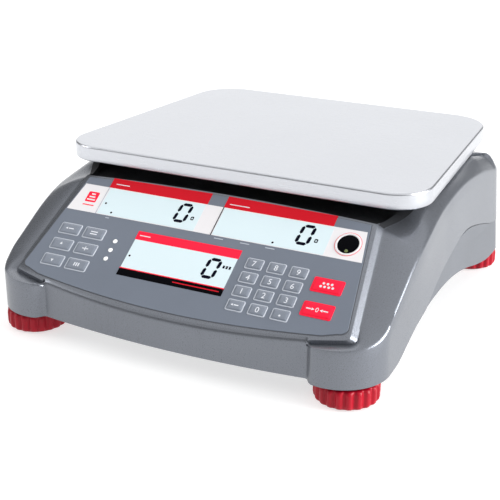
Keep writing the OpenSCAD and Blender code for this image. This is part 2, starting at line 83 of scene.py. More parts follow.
def noise(nodes, links, scale, detail=3.0, stretch=None):
    """A noise texture in object space, so that it stays with the piece."""
    coord = nodes.new("ShaderNodeTexCoord")
    tex = nodes.new("ShaderNodeTexNoise")
    tex.inputs["Scale"].default_value = scale
    tex.inputs["Detail"].default_value = detail
    if stretch:
        mapping = nodes.new("ShaderNodeMapping")
        mapping.inputs["Scale"].default_value = stretch
        links.new(coord.outputs["Object"], mapping.inputs["Vector"])
        links.new(mapping.outputs["Vector"], tex.inputs["Vector"])
    else:
        links.new(coord.outputs["Object"], tex.inputs["Vector"])
    return tex


def ramp(nodes, links, source, low, high, start=0.3, stop=0.7):
    """Maps a texture onto the colours low to high."""
    node = nodes.new("ShaderNodeValToRGB")
    node.color_ramp.elements[0].position = start
    node.color_ramp.elements[1].position = stop
    node.color_ramp.elements[0].color = (*low, 1.0)
    node.color_ramp.elements[1].color = (*high, 1.0)
    links.new(source, node.inputs["Fac"])
    return node


def finish_material(name, colour, rough, metal=0.0, vary=0.06, grain=900.0, bump=0.02,
                    coat=0.0, coat_rough=0.1, patch=14.0, rough_vary=0.06, stretch=None,
                    specular=0.5, glow=0.0):
    """A finish with colour variation, uneven roughness and a fine surface grain."""
    mat, nodes, links, shader = new_material(name)
    low = [max(0.0, c * (1 - vary)) for c in colour]
    high = [min(1.0, c * (1 + vary)) for c in colour]
    broad = noise(nodes, links, patch, 4.0)
    tint = ramp(nodes, links, broad.outputs["Fac"], low, high)
    links.new(tint.outputs["Color"], shader.inputs["Base Color"])
    fine = noise(nodes, links, grain, 2.0, stretch)
    spread = ramp(nodes, links, fine.outputs["Fac"], [rough - rough_vary] * 3, [rough + rough_vary] * 3)
    links.new(spread.outputs["Color"], shader.inputs["Roughness"])
    node = nodes.new("ShaderNodeBump")
    node.inputs["Strength"].default_value = bump
    node.inputs["Distance"].default_value = 0.0002
    links.new(fine.outputs["Fac"], node.inputs["Height"])
    links.new(node.outputs["Normal"], shader.inputs["Normal"])
    shader.inputs["Metallic"].default_value = metal
    shader.inputs["Specular IOR Level"].default_value = specular
    shader.inputs["Coat Weight"].default_value = coat
    shader.inputs["Coat Roughness"].default_value = coat_rough
    if glow:
        shader.inputs["Emission Color"].default_value = (*colour, 1.0)
        shader.inputs["Emission Strength"].default_value = glow
    return mat


paint = finish_material("metallic_paint", (0.172, 0.184, 0.209), 0.31, metal=0.70, vary=0.05,
                        grain=2600.0, bump=0.12, coat=0.15, coat_rough=0.22)
dark_paint = finish_material("lower_paint", (0.128, 0.138, 0.157), 0.42, metal=0.40, vary=0.06,
                             grain=2200.0, bump=0.12)
film = finish_material("overlay_film", (0.152, 0.175, 0.218), 0.46, vary=0.05, grain=4200.0, bump=0.10,
                       specular=0.35)
steel = finish_material("brushed_steel", (0.60, 0.615, 0.65), 0.30, metal=1.0, vary=0.012,
                        grain=2200.0, bump=0.03, stretch=(0.03, 1.0, 1.0), rough_vary=0.03)
# Near black painted shade for the tray and the shoulder under the pan, standing in for the shadow there.
tray_painted_shade = finish_material("tray_shade", (0.020, 0.021, 0.024), 0.60, vary=0.10, grain=2200.0, bump=0.10,
                              specular=0.2)
groove_shade = finish_material("groove_shade", (0.070, 0.076, 0.088), 0.60, vary=0.08, grain=2600.0,
                               bump=0.10)
red_rubber = finish_material("red_wheel", (0.35, 0.002, 0.014), 0.38, vary=0.12, grain=1300.0, bump=0.10,
                             patch=60.0, specular=0.25)
red_print = finish_material("red_print", (0.62, 0.004, 0.016), 0.50, vary=0.04, grain=3000.0, bump=0.05,
                            specular=0.12)
bright_red = finish_material("bright_red_print", (0.95, 0.008, 0.045), 0.45, vary=0.04, grain=3000.0,
                             bump=0.05,
                             specular=0.2)
white_print = finish_material("white_print", (0.80, 0.78, 0.795), 0.45, vary=0.010, grain=3000.0, bump=0.05)
lcd_face = finish_material("display_glass", (0.64, 0.76, 0.80), 0.20, vary=0.015, grain=1500.0, bump=0.01,
                           coat=0.15, coat_rough=0.10, glow=0.07)
ink = finish_material("display_ink", (0.002, 0.002, 0.010), 0.60, specular=0.05, vary=0.10,
                      grain=1500.0, bump=0.02)
black_gloss = finish_material("black_gloss", (0.002, 0.002, 0.003), 0.25, vary=0.10, grain=800.0, bump=0.01,
                              specular=0.02)
black_plastic = finish_material("black_plastic", (0.018, 0.018, 0.020), 0.48, vary=0.10, grain=1800.0,
                                bump=0.20)
rubber = finish_material("black_rubber", (0.022, 0.022, 0.023), 0.72, vary=0.12, grain=1500.0, bump=0.30)
pale_line = finish_material("pale_line", (0.46, 0.49, 0.55), 0.40, vary=0.04, grain=3000.0, bump=0.05)
legend_ink = finish_material("legend_ink", (0.72, 0.74, 0.79), 0.40, vary=0.03, grain=3000.0, bump=0.05)
key_face = finish_material("key_face", (0.175, 0.200, 0.245), 0.30, vary=0.05, grain=3500.0, bump=0.06,
                           coat=0.4, coat_rough=0.18)
lamp_white = finish_material("lamp_lens", (0.90, 0.90, 0.88), 0.25, vary=0.02, grain=900.0, bump=0.01,
                             glow=0.25)
zinc = finish_material("zinc_plate", (0.62, 0.62, 0.60), 0.32, metal=1.0, vary=0.08, grain=700.0, bump=0.06)
dark_steel = finish_material("dark_steel", (0.10, 0.10, 0.11), 0.38, metal=0.9, vary=0.10, grain=700.0,
                             bump=0.08)
brass = finish_material("brass", (0.70, 0.50, 0.22), 0.30, metal=1.0, vary=0.08, grain=700.0, bump=0.06)
alloy = finish_material("bare_alloy", (0.66, 0.67, 0.69), 0.34, metal=1.0, vary=0.05, grain=600.0,
                        bump=0.08,
                        stretch=(0.1, 1.0, 1.0))
cast_alloy = finish_material("cast_alloy", (0.50, 0.51, 0.53), 0.50, metal=0.8, vary=0.08, grain=900.0,
                             bump=0.35)
board_green = finish_material("board_green", (0.015, 0.13, 0.055), 0.35, vary=0.15, grain=900.0, bump=0.10)
module_metal = finish_material("module_case", (0.55, 0.56, 0.57), 0.40, metal=0.9, vary=0.06,
                               grain=900.0, bump=0.10)
battery_case = finish_material("battery_case", (0.06, 0.065, 0.075), 0.45, vary=0.10, grain=1200.0,
                               bump=0.15)
# Green for the small dome on the level's lens: a painted glint, not a colour of the glass.
lens_painted_glint = finish_material("level_liquid", (0.10, 0.13, 0.03), 0.12, vary=0.10, grain=600.0, bump=0.01,
                              coat=0.3, coat_rough=0.05)

# ---------------------------------------------------------------- mesh helpers
TILT = math.radians(34.6)
SIN_T, COS_T = math.sin(TILT), math.cos(TILT)
CONSOLE_Y, CONSOLE_Z = -72.4, 101.2


def con(u, v, h):
    """A point in the console's own frame: u across, v down the slope, h out of the face."""
    return (u, CONSOLE_Y - v * COS_T - h * SIN_T, CONSOLE_Z - v * SIN_T + h * COS_T)


def piece(name, verts, faces, mats, body, indices=None, sharp=35.0, replaces=()):
    """A mesh object from points in millimetres, placed, given its finish, and made to ride on a body."""
    mesh = bpy.data.meshes.new(name)
    mesh.from_pydata([tuple(c * MM for c in v) for v in verts], [], faces)
    for mat in mats if isinstance(mats, (list, tuple)) else [mats]:
        mesh.materials.append(mat)
    if indices:
        mesh.polygons.foreach_set("material_index", indices)
    bm = bmesh.new()
    bm.from_mesh(mesh)
    bmesh.ops.remove_doubles(bm, verts=bm.verts, dist=1e-7)
    bmesh.ops.recalc_face_normals(bm, faces=bm.faces)
    bm.to_mesh(mesh)
    bm.free()
    mesh.polygons.foreach_set("use_smooth", [True] * len(mesh.polygons))
    mesh.set_sharp_from_angle(angle=math.radians(sharp))
    obj = bpy.data.objects.new(name, mesh)
    bpy.context.scene.collection.objects.link(obj)
    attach(obj, body)
    if replaces:
        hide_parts(*replaces)
    return obj


def apply_modifiers(obj):
    depsgraph = bpy.context.evaluated_depsgraph_get()
    mesh = bpy.data.meshes.new_from_object(obj.evaluated_get(depsgraph))
    obj.modifiers.clear()
    obj.data = mesh


def stack(loops, close_first=True, close_last=True):
    """Faces joining loops of equal length, each closed on itself; ends can be capped."""
    n = len(loops[0])
    verts = [p for loop in loops for p in loop]
    faces = []
    for k in range(len(loops) - 1):
        for i in range(n):
            j = (i + 1) % n
            faces.append((k * n + i, k * n + j, (k + 1) * n + j, (k + 1) * n + i))
    if close_first:
        faces.append(tuple(reversed(range(n))))
    if close_last:
        faces.append(tuple(range((len(loops) - 1) * n, len(loops) * n)))
    return verts, faces


class Batch:
    """Several closed shapes gathered in one piece, each with its own material index."""

    def __init__(self):
        self.verts, self.faces, self.index = [], [], []

    def add(self, verts, faces, index=0):
        base = len(self.verts)
        self.verts += verts
        self.faces += [tuple(base + i for i in f) for f in faces]
        self.index += [index] * len(faces)

    def plate(self, outline, low, high, index=0, soft=0.0):
        """A flat shape on the console between two heights, with an optional soft upper edge."""
        loops = [[con(u, v, low) for u, v in outline]]
        if soft:
            loops.append([con(u, v, high - soft) for u, v in outline])
            loops.append([con(u, v, high) for u, v in inset(outline, soft)])
        else:
            loops.append([con(u, v, high) for u, v in outline])
        self.add(*stack(loops), index)


def inset(outline, d):
    """The outline moved inward by d, for convex shapes."""
    n = len(outline)
    ahead = outline[1:] + outline[:1]
    area = sum(a[0] * b[1] - b[0] * a[1] for a, b in zip(outline, ahead))
    sign = 1 if area > 0 else -1
    out = []
    for i in range(n):
        a, b, c = Vector(outline[i - 1]), Vector(outline[i]), Vector(outline[(i + 1) % n])
        t = ((b - a).normalized() + (c - b).normalized()).normalized()
        normal = Vector((-t.y, t.x)) * sign
        grow = max(0.5, abs(t.dot((c - b).normalized())))
        out.append(tuple(b + normal * d / grow))
    return out


def rect(u0, v0, u1, v1):
    return [(u0, v0), (u1, v0), (u1, v1), (u0, v1)]


def round_rect(cu, cv, w, h, r, steps=5):
    pts = []
    for sx, sy, start in ((1, 1, 0), (-1, 1, 90), (-1, -1, 180), (1, -1, 270)):
        for k in range(steps + 1):
            a = math.radians(start + 90 * k / steps)
            pts.append((cu + sx * (w / 2 - r) + r * math.cos(a), cv + sy * (h / 2 - r) + r * math.sin(a)))
    return pts


def disc(cu, cv, r, n=48):
    return [(cu + r * math.cos(2 * math.pi * k / n), cv + r * math.sin(2 * math.pi * k / n))
            for k in range(n)]


def smoothstep(a, b, x):
    t = min(1.0, max(0.0, (x - a) / (b - a)))
    return t * t * (3 - 2 * t)


def curve_at(points, x):
    """A smooth curve through [x, value] points (monotone in x)."""
    if x <= points[0][0]:
        return points[0][1]
    if x >= points[-1][0]:
        return points[-1][1]
    k = max(i for i in range(len(points) - 1) if points[i][0] <= x)
    p0, p1 = points[k], points[k + 1]
    before, after = points[max(k - 1, 0)], points[min(k + 2, len(points) - 1)]
    span = p1[0] - p0[0]
    m0 = (p1[1] - before[1]) / (p1[0] - before[0]) * span
    m1 = (after[1] - p0[1]) / (after[0] - p0[0]) * span
    t = (x - p0[0]) / span
    return ((2 * t ** 3 - 3 * t ** 2 + 1) * p0[1] + (t ** 3 - 2 * t ** 2 + t) * m0
            + (-2 * t ** 3 + 3 * t ** 2) * p1[1] + (t ** 3 - t ** 2) * m1)


# ---------------------------------------------------------------- housing
BOW_CENTRE, BOW_RADIUS = 605.9, 766.7
POD_X, POD_Y, POD_R = 119.0, -126.5, 34.2
REAR_X, REAR_Y, REAR_R = 119.5, 128.5, 30.0
DRAFT, DRAFT_Z = 0.073, 46.3
NOTCH = [(105.0, -153.62), (106.6, -154.3), (107.8, -156.0), (109.4, -158.2), (111.0, -159.4)]
POD_STEPS, SIDE_STEPS, CORNER_STEPS, REAR_STEPS, FRONT_STEPS = 34, 64, 14, 10, 18
# The side steps that run beside the console, and the step where the inner edges stop lagging behind.
CONSOLE_STEPS, LAG_END = 12, 26
# Behind this depth the tray's edge is drawn in, to end in front of the rear corner.
SQUEEZE_Y = 40
SHOULDER_STEPS = (0.1, 0.22, 0.35, 0.5, 0.65, 0.8, 0.92)
BULGE, REAR_BULGE = 0.05, 0.09
# The near black painted shade of the tray, standing in for the shadow under the pan, runs between these
# depths, and its sheet ends at TRAY_FLOOR_Z.
PAN_SHADE_FROM_Y, PAN_SHADE_TO_Y = -72.0, 95.0
TRAY_FLOOR_Z, TRAY_MID_Y = 98.0, 36
# The console face: the distance down it where its side edges straighten and where they end, the
# half width where the front notch starts, and how far the front skirt's edge lies below the face.
SIDE_V, LOW_V = 68.0, 92.3
NOTCH_U, FRONT_HALF, SKIRT_DROP = 106.0, 104.0, 1.9
EDGE_SOFT, WALL_THICK, SHELL_SHARP = 2.0, 2.2, 50
# Set-in of the lower band's two faces from the upper housing's wall.
BAND_OUTER, BAND_INNER = -0.5, -3.0
# Rear deck: the corner radius and half width of its outer edge, and its inner edge.
DECK_R, DECK_HALF, INNER_R, INNER_HALF, INNER_Y = 17.5, 119.5, 24, 102, 107
REAR_EDGE_Z, REAR_DROP = 88.4, 1.6

# Half width of the housing against depth, and the height of its upper edge against depth.
SIDE_X = [(-126.5, 153.2), (-100, 153.1), (-66, 152.8), (-25, 151.9), (0, 151.0), (40, 150.0),
          (80, 149.5), (130, 149.5)]
RIDGE = [(-134, 51.4), (-127.5, 55.4), (-108, 67), (-88, 78.5), (-66, 87.7), (-42, 92.9), (-19, 96.4),
         (4, 98.9), (26, 100.5), (47, 100.6), (68, 99.2), (89, 96.4), (109, 92.6), (128, 88.4)]
# The upper edge of a front pod against the angle round it.
POD_EDGE = [(-102, 44.6), (-80, 45.1), (-58, 45.6), (-40, 46.4), (-25, 48.2), (-12, 51.2), (0, 55.9)]
# The arch and the seam between the two housings, each height against depth, and the rear deck's.
ARCH = [(-125, 17.2), (-108, 19.4), (-92, 25.5), (-72, 32.5), (-50, 37), (-25, 38.8), (0, 38), (25, 35),
        (50, 30), (75, 23.5), (98, 18.8), (112, 17.2)]
SPLIT = [(-54, 36.4), (-44, 41.5), (-28, 48.5), (-14, 52.5), (2, 56), (20, 59.5), (38, 62), (55, 61.5),
         (75, 57.5), (97, 51.5), (118, 45.5), (162, 40)]
DECK = [(98, 106.5), (131, 101), (147, 95), (161.5, 86)]


def bow_y(x):
    return BOW_CENTRE - math.sqrt(BOW_RADIUS ** 2 - x * x)


def plane_z(y):
    return CONSOLE_Z + (y - CONSOLE_Y) * math.tan(TILT)


def face_v(y):
    return (CONSOLE_Y - y) / COS_T


def half_face(v):
    return 120.0 + 0.14 * v


def lower_edge(y):
    return curve_at(ARCH, y) if y < SPLIT[0][0] else curve_at(SPLIT, y)


def fillet_path(points, radius, spacing):
    """Points along a polyline whose one inner corner is rounded."""
    a, b, c = (Vector(p) for p in points)
    u, w = (a - b).normalized(), (c - b).normalized()
    half = math.acos(max(-1, min(1, u.dot(w)))) / 2
    cut = radius / math.tan(half)
    start, stop = b + u * cut, b + w * cut
    centre = b + (u + w).normalized() * radius / math.sin(half)
    out = [a.lerp(start, k / spacing) for k in range(spacing)]
    v0, v1 = start - centre, stop - centre
    turn = v0.angle_signed(v1)
    for k in range(spacing + 1):
        ang = -turn * k / spacing
        out.append(centre + Vector((v0.x * math.cos(ang) - v0.y * math.sin(ang),
                                    v0.x * math.sin(ang) + v0.y * math.cos(ang))))
    out += [stop.lerp(c, (k + 1) / spacing) for k in range(spacing)]
    return out


def along(path, t):
    """The point a fraction t along a list of points."""
    lengths = [(path[i + 1] - path[i]).length for i in range(len(path) - 1)]
    left = t * sum(lengths)
    for i, length in enumerate(lengths):
        if left <= length or i == len(lengths) - 1:
            return path[i].lerp(path[i + 1], min(1.0, left / length))
        left -= length


def deck_z(y):
    return curve_at(DECK, y)


def half_outline():
    """Samples from the front centre round the right side to the rear centre.

    Each holds the plan point, the draft's share, the ridge height, the shoulder's inner edge
    and the edge of the console face or of the tray.
    """
    rows = []
    notch_v = face_v(bow_y(NOTCH_U))
    edge = fillet_path([(NOTCH_U, notch_v), (half_face(LOW_V), LOW_V), (half_face(SIDE_V), SIDE_V)], 3.5, 10)
    for k in range(FRONT_STEPS + 1):
        x = FRONT_HALF * k / FRONT_STEPS
        y = bow_y(x)
        v = face_v(y)
        rows.append(dict(p=(x, y), draft=0, top=plane_z(y) - SKIRT_DROP,
                         c=con(x, v - 0.7, -0.45), d=con(x, v - 2.6, 0.0)))
    for k, (x, y) in enumerate(NOTCH):
        f = (k + 1) / len(NOTCH)
        u = 104.6 + 2.2 * f
        v = face_v(bow_y(u))
        drop = 2.6 * smoothstep(0.0, 0.8, f)
        top = plane_z(bow_y(u)) - SKIRT_DROP + 0.45 * f
        rows.append(dict(p=(x, y), draft=0, top=top,
                         c=con(u, v - 0.7 + 1.3 * f, -0.45 - drop), d=con(u, v - 2.6 + 1.4 * f, 0.0)))
    for k in range(POD_STEPS + 1):
        f = k / POD_STEPS
        a = -102.0 + 102.0 * f
        x = POD_X + POD_R * math.cos(math.radians(a))
        y = POD_Y + POD_R * math.sin(math.radians(a))
        e = along(edge, f)
        side = smoothstep(0.35, 0.6, f)
        c = con(e.x + 0.6 + 3.6 * side, e.y + 1.4 * (1 - side), -3.0 - side)
        rows.append(dict(p=(x, y), draft=0, top=curve_at(POD_EDGE, a), c=c, d=con(e.x, e.y, 0.0)))
    for k in range(1, SIDE_STEPS + 1):
        y = POD_Y + (REAR_Y - POD_Y) * k / SIDE_STEPS
        x = curve_at(SIDE_X, y)
        v = SIDE_V * (1 - k / CONSOLE_STEPS)
        if v >= 0:
            c = con(half_face(v) + 4.2, v, -4.0)
            d = con(half_face(v), v, 0.0)
        else:
            f = smoothstep(0, 9, k - CONSOLE_STEPS)
            lag = 1 - smoothstep(CONSOLE_STEPS, LAG_END, k)
            squeezed = SQUEEZE_Y + (y - SQUEEZE_Y) * (INNER_Y - SQUEEZE_Y) / (REAR_Y - SQUEEZE_Y)
            y_in = y if y < SQUEEZE_Y else squeezed
            rise = curve_at(RIDGE, y) + 10.5
            zc = (CONSOLE_Z - 4 * COS_T) * (1 - f) + min(rise, deck_z(y) - 0.8) * f
            zd = (CONSOLE_Z - min(1.0, (k - CONSOLE_STEPS) / 2)) * (1 - f) + min(rise + 1.5, deck_z(y_in)) * f
            c = (124.2 + 10.0 * f, y + 8.6 * lag, zc)
            d = (120.0 + 6.0 * f, y_in + 6.3 * lag, zd)
        rows.append(dict(p=(x, y), draft=smoothstep(-80, 0, y), top=curve_at(RIDGE, y), c=c, d=d, v=v))
    for k in range(1, CORNER_STEPS + 1):
        a = math.radians(90 * k / CORNER_STEPS)
        x, y = REAR_X + REAR_R * math.cos(a), REAR_Y + REAR_R * math.sin(a)
        yc = REAR_Y + DECK_R * math.sin(a)
        yd = INNER_Y + INNER_R * math.sin(a)
        rows.append(dict(p=(x, y), draft=1, top=REAR_EDGE_Z - REAR_DROP * math.sin(a),
                         c=(DECK_HALF + DECK_R * math.cos(a), yc, deck_z(yc) - 0.8 * math.cos(a)),
                         d=(INNER_HALF + INNER_R * math.cos(a), yd, deck_z(yd))))
    for k in range(1, REAR_STEPS + 1):
        x = REAR_X * (1 - k / REAR_STEPS)
        yc = REAR_Y + DECK_R
        rows.append(dict(p=(x, REAR_Y + REAR_R), draft=1, top=REAR_EDGE_Z - REAR_DROP, c=(x, yc, deck_z(yc)),
                         d=(INNER_HALF * (1 - k / REAR_STEPS), *DECK[1])))
    return rows


def outward(rows):
    """Unit vectors pointing out of the plan outline."""
    out = []
    for i in range(len(rows)):
        a, b = rows[max(i - 1, 0)]["p"], rows[min(i + 1, len(rows) - 1)]["p"]
        dx, dy = b[0] - a[0], b[1] - a[1]
        size = math.hypot(dx, dy)
        out.append((dy / size, -dx / size))
    out[0], out[-1] = (0, -1), (0, 1)
    return out


rows = half_outline()
normals = outward(rows)
CONSOLE_LAST = max(i for i, r in enumerate(rows) if r.get("v", -1) >= 0)


def wall_point(i, z, out=0.0):
    """A point of the side wall at height z, with its draft."""
    (x, y), (nx, ny) = rows[i]["p"], normals[i]
    shift = out + rows[i]["draft"] * DRAFT * (DRAFT_Z - z)
    return (x + nx * shift, y + ny * shift, z)


def full_ring(half):
    """Closes a half ring by mirroring it."""
    return half + [(-x, y, z) for x, y, z in reversed(half[1:-1])]


def mix(a, b, t):
    return tuple(p + (q - p) * t for p, q in zip(a, b))


def housing():
    """The outer skin from the lower edge up over the shoulder, then the console face and the tray."""
    n = len(rows)
    rings = []
    low = [lower_edge(r["p"][1]) for r in rows]
    ridge = [wall_point(i, r["top"]) for i, r in enumerate(rows)]
    for t in (0.0, 0.25, 0.5, 0.75, 1.0):
        rings.append([wall_point(i, low[i] + (rows[i]["top"] - EDGE_SOFT - low[i]) * t) for i in range(n)])
    inner = []
    for i in range(n):
        c = Vector(rows[i]["c"])
        b = Vector(ridge[i])
        gap = max((c - b).length, 0.01)
        inner.append(tuple(b + (c - b) * min(0.45, EDGE_SOFT / gap)))
    knee = [mix(mix(rings[-1][i], inner[i], 0.5), ridge[i], 0.55) for i in range(n)]
    rings.append(knee)
    rings.append(inner)
    for t in SHOULDER_STEPS:
        ring = []
        for i in range(n):
            x, y, z = mix(inner[i], rows[i]["c"], t)
            share = BULGE + REAR_BULGE * smoothstep(60, 130, rows[i]["p"][1])
            rise = share * (Vector(rows[i]["c"]) - Vector(inner[i])).length
            ring.append((x, y, z + rise * 4 * t * (1 - t)))
        rings.append(ring)
    rings.append([r["c"] for r in rows])
    rings.append([mix(rows[i]["c"], rows[i]["d"], 0.12) for i in range(n)])
    rings.append([mix(rows[i]["c"], rows[i]["d"], 0.86) for i in range(n)])
    rings.append([r["d"] for r in rows])
    full = [full_ring(r) for r in rings]
    verts, faces = stack(full, close_first=False, close_last=False)
    m = len(full[0])
    base = len(verts) - m
    indices = [0] * len(faces)
    # Between those depths, the strips from the shoulder's edge to the console face and tray rim get the
    # painted shade of the pan's shadow.
    shade_from = rings.index(inner) + 1 + len(SHOULDER_STEPS)
    for k in range(shade_from, len(full) - 1):
        for i in range(m):
            if PAN_SHADE_FROM_Y < full[k][i][1] < PAN_SHADE_TO_Y:
                indices[k * m + i] = 1

    right = base + CONSOLE_LAST
    left = base + m - CONSOLE_LAST
    steps = 16
    top = []
    xr = rows[CONSOLE_LAST]["d"][0]
    for k in range(1, steps):
        x = xr * (1 - 2 * k / steps)
        top.append(len(verts))
        verts.append(con(x, -3.4 * (1 - (x / xr) ** 2), 0.0))
    front = list(range(left, base + m)) + list(range(base, right + 1))
    faces.append(tuple(front + top))
    indices.append(0)

    rim = list(range(right, left + 1))
    loop = rim + list(reversed(top))
    floor = []
    for i in loop:
        x, y, z = verts[i]
        floor.append(len(verts))
        verts.append((x * 0.994, TRAY_MID_Y + (y - TRAY_MID_Y) * 0.992, TRAY_FLOOR_Z))
    count = len(loop)
    for k in range(count):
        j = (k + 1) % count
        faces.append((loop[k], loop[j], floor[j], floor[k]))
    faces.append(tuple(floor))
    # The tray's walls and floor get the painted shade too.
    indices += [1] * (len(faces) - len(indices))
    return verts, faces, indices


verts, faces, indices = housing()
shell = piece("housing_shell", verts, faces, [paint, tray_painted_shade], "base", indices,
              sharp=SHELL_SHARP, replaces=["top_housing"])


def turn_outward(obj):
    """Makes the normals of an open shell face away from its middle."""
    mesh = obj.data
    middle = Vector((0, 0, 0.05))
    score = sum((p.center - middle).dot(p.normal) * p.area for p in mesh.polygons)
    if score < 0:
        mesh.flip_normals()


turn_outward(shell)
solid = shell.modifiers.new("wall", "SOLIDIFY")
solid.thickness = WALL_THICK * MM
solid.offset = -1
apply_modifiers(shell)

# Opening in the tray for the post of the weighing platform.
HOLE = ((28, 24, 90), (72, 68, 112))
cut_mesh = bpy.data.meshes.new("tray_cut")
(x0, y0, z0), (x1, y1, z1) = HOLE
cut_verts = [(x, y, z) for z in (z0, z1) for x, y in ((x0, y0), (x1, y0), (x1, y1), (x0, y1))]
cut_faces = [(0, 3, 2, 1), (4, 5, 6, 7), (0, 1, 5, 4), (1, 2, 6, 5), (2, 3, 7, 6), (3, 0, 4, 7)]
cut_mesh.from_pydata([tuple(c * MM for c in v) for v in cut_verts], [], cut_faces)
cutter = bpy.data.objects.new("tray_cut", cut_mesh)
bpy.context.scene.collection.objects.link(cutter)
opening = shell.modifiers.new("opening", "BOOLEAN")
opening.object = cutter
opening.operation = "DIFFERENCE"
opening.solver = "EXACT"
apply_modifiers(shell)
bpy.data.objects.remove(cutter)
shell.data.polygons.foreach_set("use_smooth", [True] * len(shell.data.polygons))
shell.data.set_sharp_from_angle(angle=math.radians(SHELL_SHARP))


def band():
    """The visible band of the lower casting, below the split line at the sides and the back."""
    first = min(i for i, r in enumerate(rows) if r["p"][1] > SPLIT[0][0])
    keep = range(first, len(rows))
    sets = []
    for out in (BAND_OUTER, BAND_INNER):
        col = []
        for i in keep:
            y = rows[i]["p"][1]
            low = curve_at(ARCH, y)
            high = curve_at(SPLIT, y) - 0.4
            rise = max(high, low + 0.2) - low
            col.append([wall_point(i, low + rise * t, out) for t in (0, 0.02, 0.5, 0.98, 1)])
        sets.append(col)
    verts, faces = [], []
    loops = [outer + list(reversed(inner)) for outer, inner in zip(*sets)]
    mirrored = [[(-x, y, z) for x, y, z in ring] for ring in reversed(loops[:-1])]
    every = loops + mirrored
    width = len(every[0])
    for ring in every:
        verts += ring
    for k in range(len(every) - 1):
        for i in range(width):
            j = (i + 1) % width
            faces.append((k * width + i, k * width + j, (k + 1) * width + j, (k + 1) * width + i))
    faces.append(tuple(range(width)))
    faces.append(tuple(reversed(range((len(every) - 1) * width, len(every) * width))))
    return verts, faces


verts, faces = band()
piece("lower_band", verts, faces, dark_paint, "base")

# ---------------------------------------------------------------- weighing pan
PAN_TOP, PAN_SKIRT, PAN_SHEET, PAN_BEND = 122.5, 12.2, 1.2, 1.9
PAN_FRONT, PAN_REAR = -66.75, 158.25
PAN_HALF_FRONT, PAN_HALF_REAR = 150.0, 131.0
PAN_FRONT_R, PAN_REAR_R = 28, 34
PAN_CORNER_STEPS, PAN_BEND_STEPS = 18, 6


def pan_loop(d, z):
    """The pan's outline moved inward by d, at height z."""
    f, b = PAN_HALF_FRONT - d, PAN_HALF_REAR - d
    low_y, high_y = PAN_FRONT + d, PAN_REAR - d
    corners = [(-f, low_y, PAN_FRONT_R - d), (f, low_y, PAN_FRONT_R - d),
               (b, high_y, PAN_REAR_R - d), (-b, high_y, PAN_REAR_R - d)]
    pts = []
    for i, (x, y, r) in enumerate(corners):
        here = Vector((x, y))
        prev = (Vector(corners[i - 1][:2]) - here).normalized()
        nxt = (Vector(corners[(i + 1) % 4][:2]) - here).normalized()
        half = math.acos(prev.dot(nxt)) / 2
        centre = here + (prev + nxt).normalized() * r / math.sin(half)
        start = here + prev * r / math.tan(half) - centre
        total = math.pi - 2 * half
        for k in range(PAN_CORNER_STEPS + 1):
            a = total * k / PAN_CORNER_STEPS
            pts.append((centre.x + start.x * math.cos(a) - start.y * math.sin(a),
                        centre.y + start.x * math.sin(a) + start.y * math.cos(a), z))
    return pts


def pan_sheet():
    """The pan as one closed sheet: its flat top, bent rim and folded skirt."""
    loops = [pan_loop(6.0, PAN_TOP)]
    for k in range(PAN_BEND_STEPS + 1):
        a = math.radians(90 * k / PAN_BEND_STEPS)
        loops.append(pan_loop(PAN_BEND * (1 - math.sin(a)), PAN_TOP - PAN_BEND * (1 - math.cos(a))))
    low = PAN_TOP - PAN_SKIRT
    inner = PAN_SHEET + 0.3
    # Down the skirt, round its folded lower edge, and up the inside to the sheet's underside.
    skirt = [(0.15, PAN_TOP - 4.2), (0.0, PAN_TOP - 7.0), (0.1, low + 0.9), (0.45, low + 0.2), (0.9, low),
             (inner, low + 0.4), (inner, PAN_TOP - PAN_SHEET - 1.0), (PAN_SHEET + 1.5, PAN_TOP - PAN_SHEET)]
    return stack(loops + [pan_loop(d, z) for d, z in skirt])


verts, faces = pan_sheet()
piece("pan_sheet", verts, faces, steel, "pan", sharp=60, replaces=["pan"])

# ---------------------------------------------------------------- levelling wheels
WHEEL_R, WHEEL_LOW, WHEEL_TOP, WHEEL_BORE = 22.6, 1.4, 15.0, 4.05
FLUTES, FLUTE_DEPTH, FLUTE_SHARPNESS, STEPS_PER_FLUTE = 20, 1.8, 1.8, 12
# The profile from the bore round the outside and back: radius, height and share of the flutes.
WHEEL_PROFILE = [
    (WHEEL_BORE, 3.05, 0), (17.8, 3.05, 0), (18.2, 1.5, 0), (20.2, WHEEL_LOW, 0.1), (21.5, 1.9, 0.55),
    (22.25, 3.0, 0.9), (WHEEL_R, 5.0, 1), (WHEEL_R, 11.6, 1), (22.3, 13.4, 0.9), (21.5, 14.6, 0.6),
    (20.2, WHEEL_TOP, 0.25), (18.5, WHEEL_TOP, 0), (WHEEL_BORE, WHEEL_TOP, 0),
]


def wheel(name, cx, cy, replaced, body):
    """A fluted levelling wheel round its stud."""
    steps = FLUTES * STEPS_PER_FLUTE
    loops = []
    for r, z, share in WHEEL_PROFILE:
        loop = []
        for k in range(steps):
            a = 2 * math.pi * k / steps
            wave = (0.5 + 0.5 * math.cos(FLUTES * a)) ** FLUTE_SHARPNESS
            rr = r - FLUTE_DEPTH * share * wave
            loop.append((cx + rr * math.cos(a), cy + rr * math.sin(a), z))
        loops.append(loop)
    verts, faces = stack(loops + [loops[0]], False, False)
    piece(name, verts, faces, red_rubber, body, sharp=60, replaces=[replaced])


FOOT_X, FOOT_Y = 127.3, 135.4
for fb, sy in (("front", -1), ("rear", 1)):
    for lr, sx in (("left", -1), ("right", 1)):
        corner = f"{fb}_{lr}"
        wheel(f"grip_wheel_{corner}", sx * FOOT_X, sy * FOOT_Y, f"wheel_{corner}", f"adjuster_{corner}")

